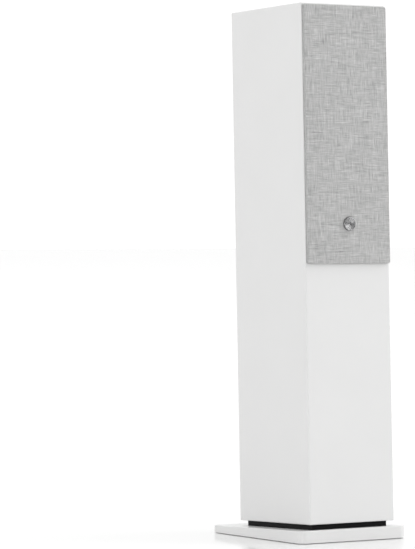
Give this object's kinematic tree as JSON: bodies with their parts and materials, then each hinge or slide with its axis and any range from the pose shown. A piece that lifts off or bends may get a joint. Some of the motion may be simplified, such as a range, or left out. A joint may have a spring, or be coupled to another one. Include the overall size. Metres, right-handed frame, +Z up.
{
  "type": "floorstanding speaker",
  "caption": "Slim white floorstanding speaker leaning back on a wedge plinth, with a cloth grille over the upper front, a small round badge and cone drivers behind.",
  "frame": {"origin": "on the floor, at the middle of the plinth", "axes": "+Z up, the front faces -Y, +X to the viewer's right when facing the front"},
  "size_m": [0.19, 0.2338, 0.7814],
  "materials": {
    "white_lacquer": "satin",
    "black_lacquer": "satin",
    "raw_fibreboard": "matte",
    "grille_cloth": "matte",
    "grille_frame": "matte",
    "turned_metal": "satin",
    "graphite_plate": "matte",
    "charcoal_cone": "matte",
    "dust_cap": "satin",
    "soft_dome": "satin",
    "rubber": "matte",
    "spider_cloth": "matte",
    "cast_basket": "satin",
    "ferrite": "matte",
    "plated_steel": "satin",
    "copper_coil": "satin",
    "black_steel": "satin",
    "black_plastic": "matte",
    "light_pipe": "gloss",
    "wadding": "matte",
    "circuit_board": "satin",
    "lead_insulation": "satin",
    "sink_aluminium": "satin",
    "gilt_socket": "polished"
  },
  "bodies": {
    "tower": {"front_baffle": "white_lacquer", "cabinet_carcass": "white_lacquer", "rear_panel": "white_lacquer", "upper_brace": "raw_fibreboard", "lower_brace": "raw_fibreboard", "acoustic_wadding": "wadding", "back_screws": "black_steel", "baffle_steel_discs": "plated_steel", "spacer_block": "black_lacquer", "plinth": "white_lacquer", "plinth_pads": "rubber", "plinth_bolts": "plated_steel", "plinth_inserts": "plated_steel", "tweeter_faceplate": "graphite_plate", "tweeter_chassis": "black_plastic", "tweeter_surround": "rubber", "tweeter_top_plate": "plated_steel", "tweeter_magnet": "ferrite", "tweeter_yoke": "plated_steel", "status_light": "light_pipe", "driver_screws": "black_steel", "port_tube": "black_plastic", "amp_panel": "black_steel", "amp_housing": "black_plastic", "amp_board": "circuit_board", "amp_components": "black_plastic", "heat_sink": "sink_aluminium", "signal_sockets": "gilt_socket", "mains_inlet": "black_plastic", "power_switch_housing": "black_plastic", "driver_leads": "lead_insulation", "upper_woofer_basket": "cast_basket", "upper_woofer_trim_ring": "rubber", "upper_woofer_surround": "rubber", "upper_woofer_spider": "spider_cloth", "upper_woofer_top_plate": "plated_steel", "upper_woofer_magnet": "ferrite", "upper_woofer_yoke": "plated_steel", "lower_woofer_basket": "cast_basket", "lower_woofer_trim_ring": "rubber", "lower_woofer_surround": "rubber", "lower_woofer_spider": "spider_cloth", "lower_woofer_top_plate": "plated_steel", "lower_woofer_magnet": "ferrite", "lower_woofer_yoke": "plated_steel"},
    "grille": {"grille_frame": "grille_frame", "grille_cloth": "grille_cloth", "grille_badge": "turned_metal", "grille_magnets": "plated_steel"},
    "upper_woofer_diaphragm": {"upper_woofer_cone": "charcoal_cone", "upper_woofer_dust_cap": "dust_cap", "upper_woofer_voice_coil": "copper_coil"},
    "lower_woofer_diaphragm": {"lower_woofer_cone": "charcoal_cone", "lower_woofer_dust_cap": "dust_cap", "lower_woofer_voice_coil": "copper_coil"},
    "tweeter_diaphragm": {"tweeter_dome": "soft_dome", "tweeter_voice_coil": "copper_coil"},
    "gain_knob": {"gain_knob": "black_plastic"},
    "pair_button": {"pair_button": "black_plastic"},
    "power_rocker": {"power_rocker": "black_plastic"}
  },
  "joints": [
    {"name": "grille_lift_off", "type": "slide", "parent": "tower", "child": "grille", "axis": [0, -0.9995, 0.0332], "range_m": [0, 0.25]},
    {"name": "upper_woofer_travel", "type": "slide", "parent": "tower", "child": "upper_woofer_diaphragm", "axis": [0, -0.9995, 0.0332], "range_m": [-0.003, 0.003], "stiffness_N_per_m": 1000},
    {"name": "lower_woofer_travel", "type": "slide", "parent": "tower", "child": "lower_woofer_diaphragm", "axis": [0, -0.9995, 0.0332], "range_m": [-0.003, 0.003], "stiffness_N_per_m": 1000},
    {"name": "tweeter_travel", "type": "slide", "parent": "tower", "child": "tweeter_diaphragm", "axis": [0, -0.9995, 0.0332], "range_m": [-0.0003, 0.0003], "stiffness_N_per_m": 2000},
    {"name": "gain_turn", "type": "hinge", "parent": "tower", "child": "gain_knob", "pos_m": [-0.027, 0.07693, 0.16265], "axis": [0, 0.9995, -0.0332], "range_deg": [0, 300]},
    {"name": "pair_press", "type": "slide", "parent": "tower", "child": "pair_button", "axis": [0, -0.9995, 0.0332], "range_m": [0, 0.0008], "stiffness_N_per_m": 600},
    {"name": "power_rock", "type": "hinge", "parent": "tower", "child": "power_rocker", "pos_m": [-0.025, 0.07311, 0.09274], "axis": [1, 0, 0], "range_deg": [-20, 0]}
  ]
}
